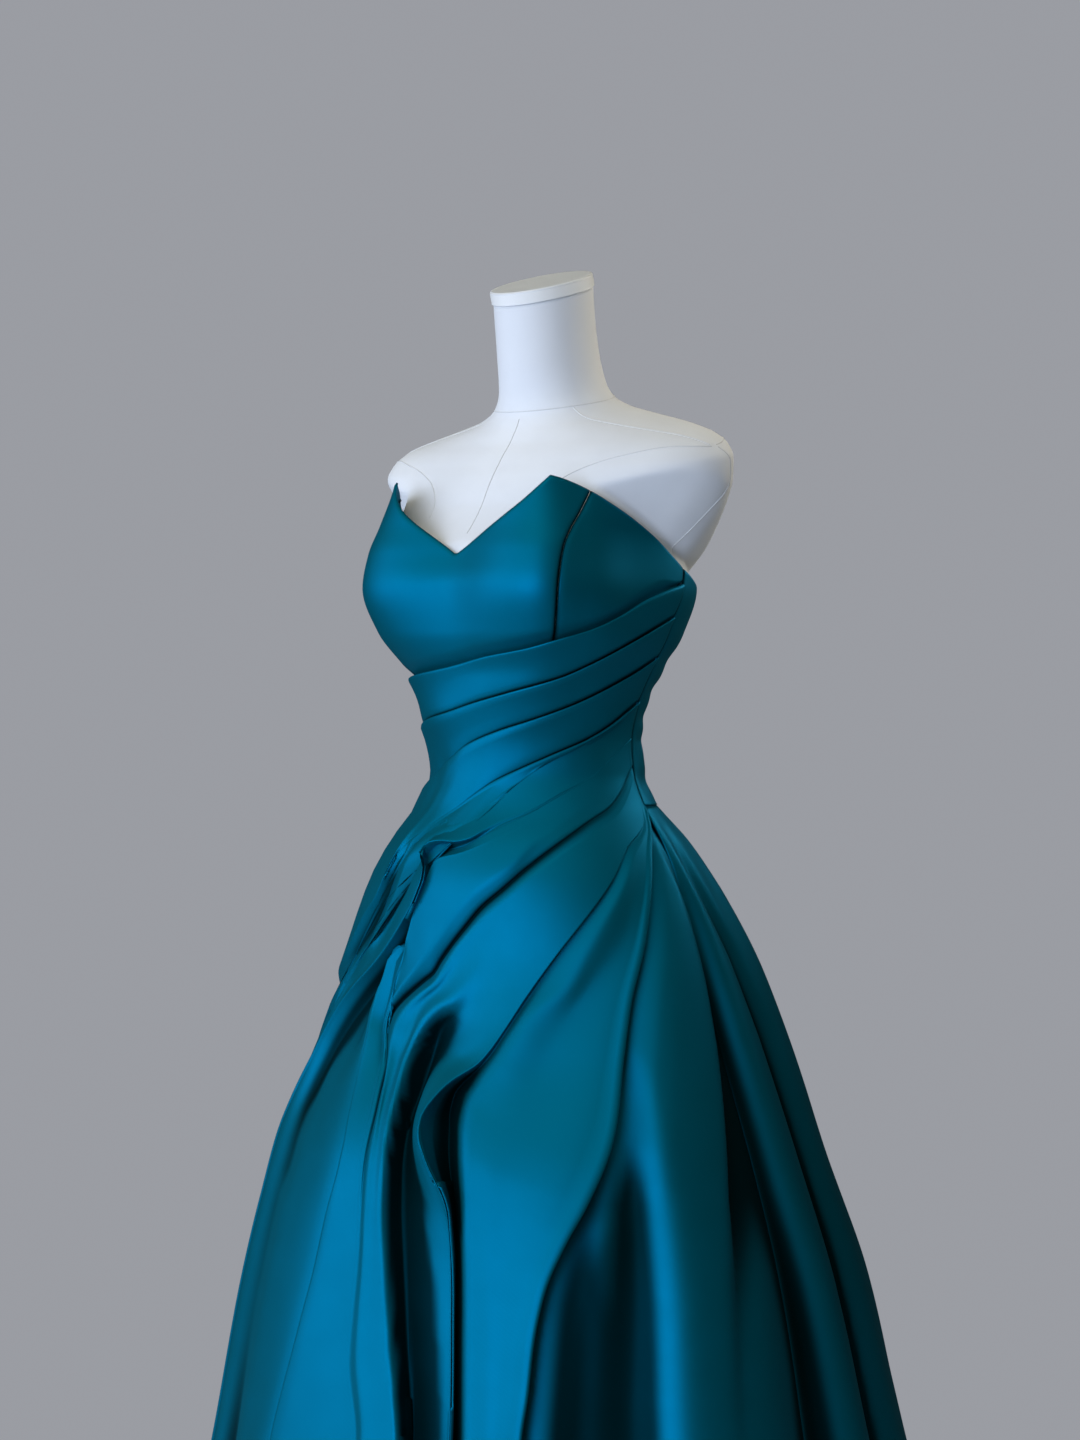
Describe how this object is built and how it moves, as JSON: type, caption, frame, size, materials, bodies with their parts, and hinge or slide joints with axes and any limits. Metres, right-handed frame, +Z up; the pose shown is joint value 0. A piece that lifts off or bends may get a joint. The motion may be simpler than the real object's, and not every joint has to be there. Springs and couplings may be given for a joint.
{
  "type": "strapless a-line evening dress on a limbless dress form with a round stand",
  "caption": "Floor-length strapless a-line dress in satin with a pleated wrap drape that falls from one side seam, worn by a white limbless dress form on a pole and round base.",
  "frame": {"origin": "middle of the underside of the round stand base, on the floor, under the dress form's pole", "axes": "+Z up, -Y towards the front of the dress, +X towards the wearer's left"},
  "size_m": [0.8476, 0.8409, 1.5169],
  "materials": {
    "teal_satin": "satin",
    "teal_satin_drape": "satin",
    "white_form_cover": "matte",
    "white_cap": "satin",
    "brushed_steel": "brushed"
  },
  "bodies": {
    "root": {"bodice_front": "teal_satin", "bodice_side_front_left": "teal_satin", "bodice_side_front_right": "teal_satin", "bodice_back_left": "teal_satin", "bodice_back_right": "teal_satin", "wrap_drape": "teal_satin_drape", "skirt_front": "teal_satin", "skirt_back_left": "teal_satin", "skirt_back_right": "teal_satin", "form_torso": "white_form_cover", "form_neck_cap": "white_cap", "stand_pole": "brushed_steel", "stand_collar": "brushed_steel", "stand_base": "brushed_steel"}
  },
  "joints": []
}
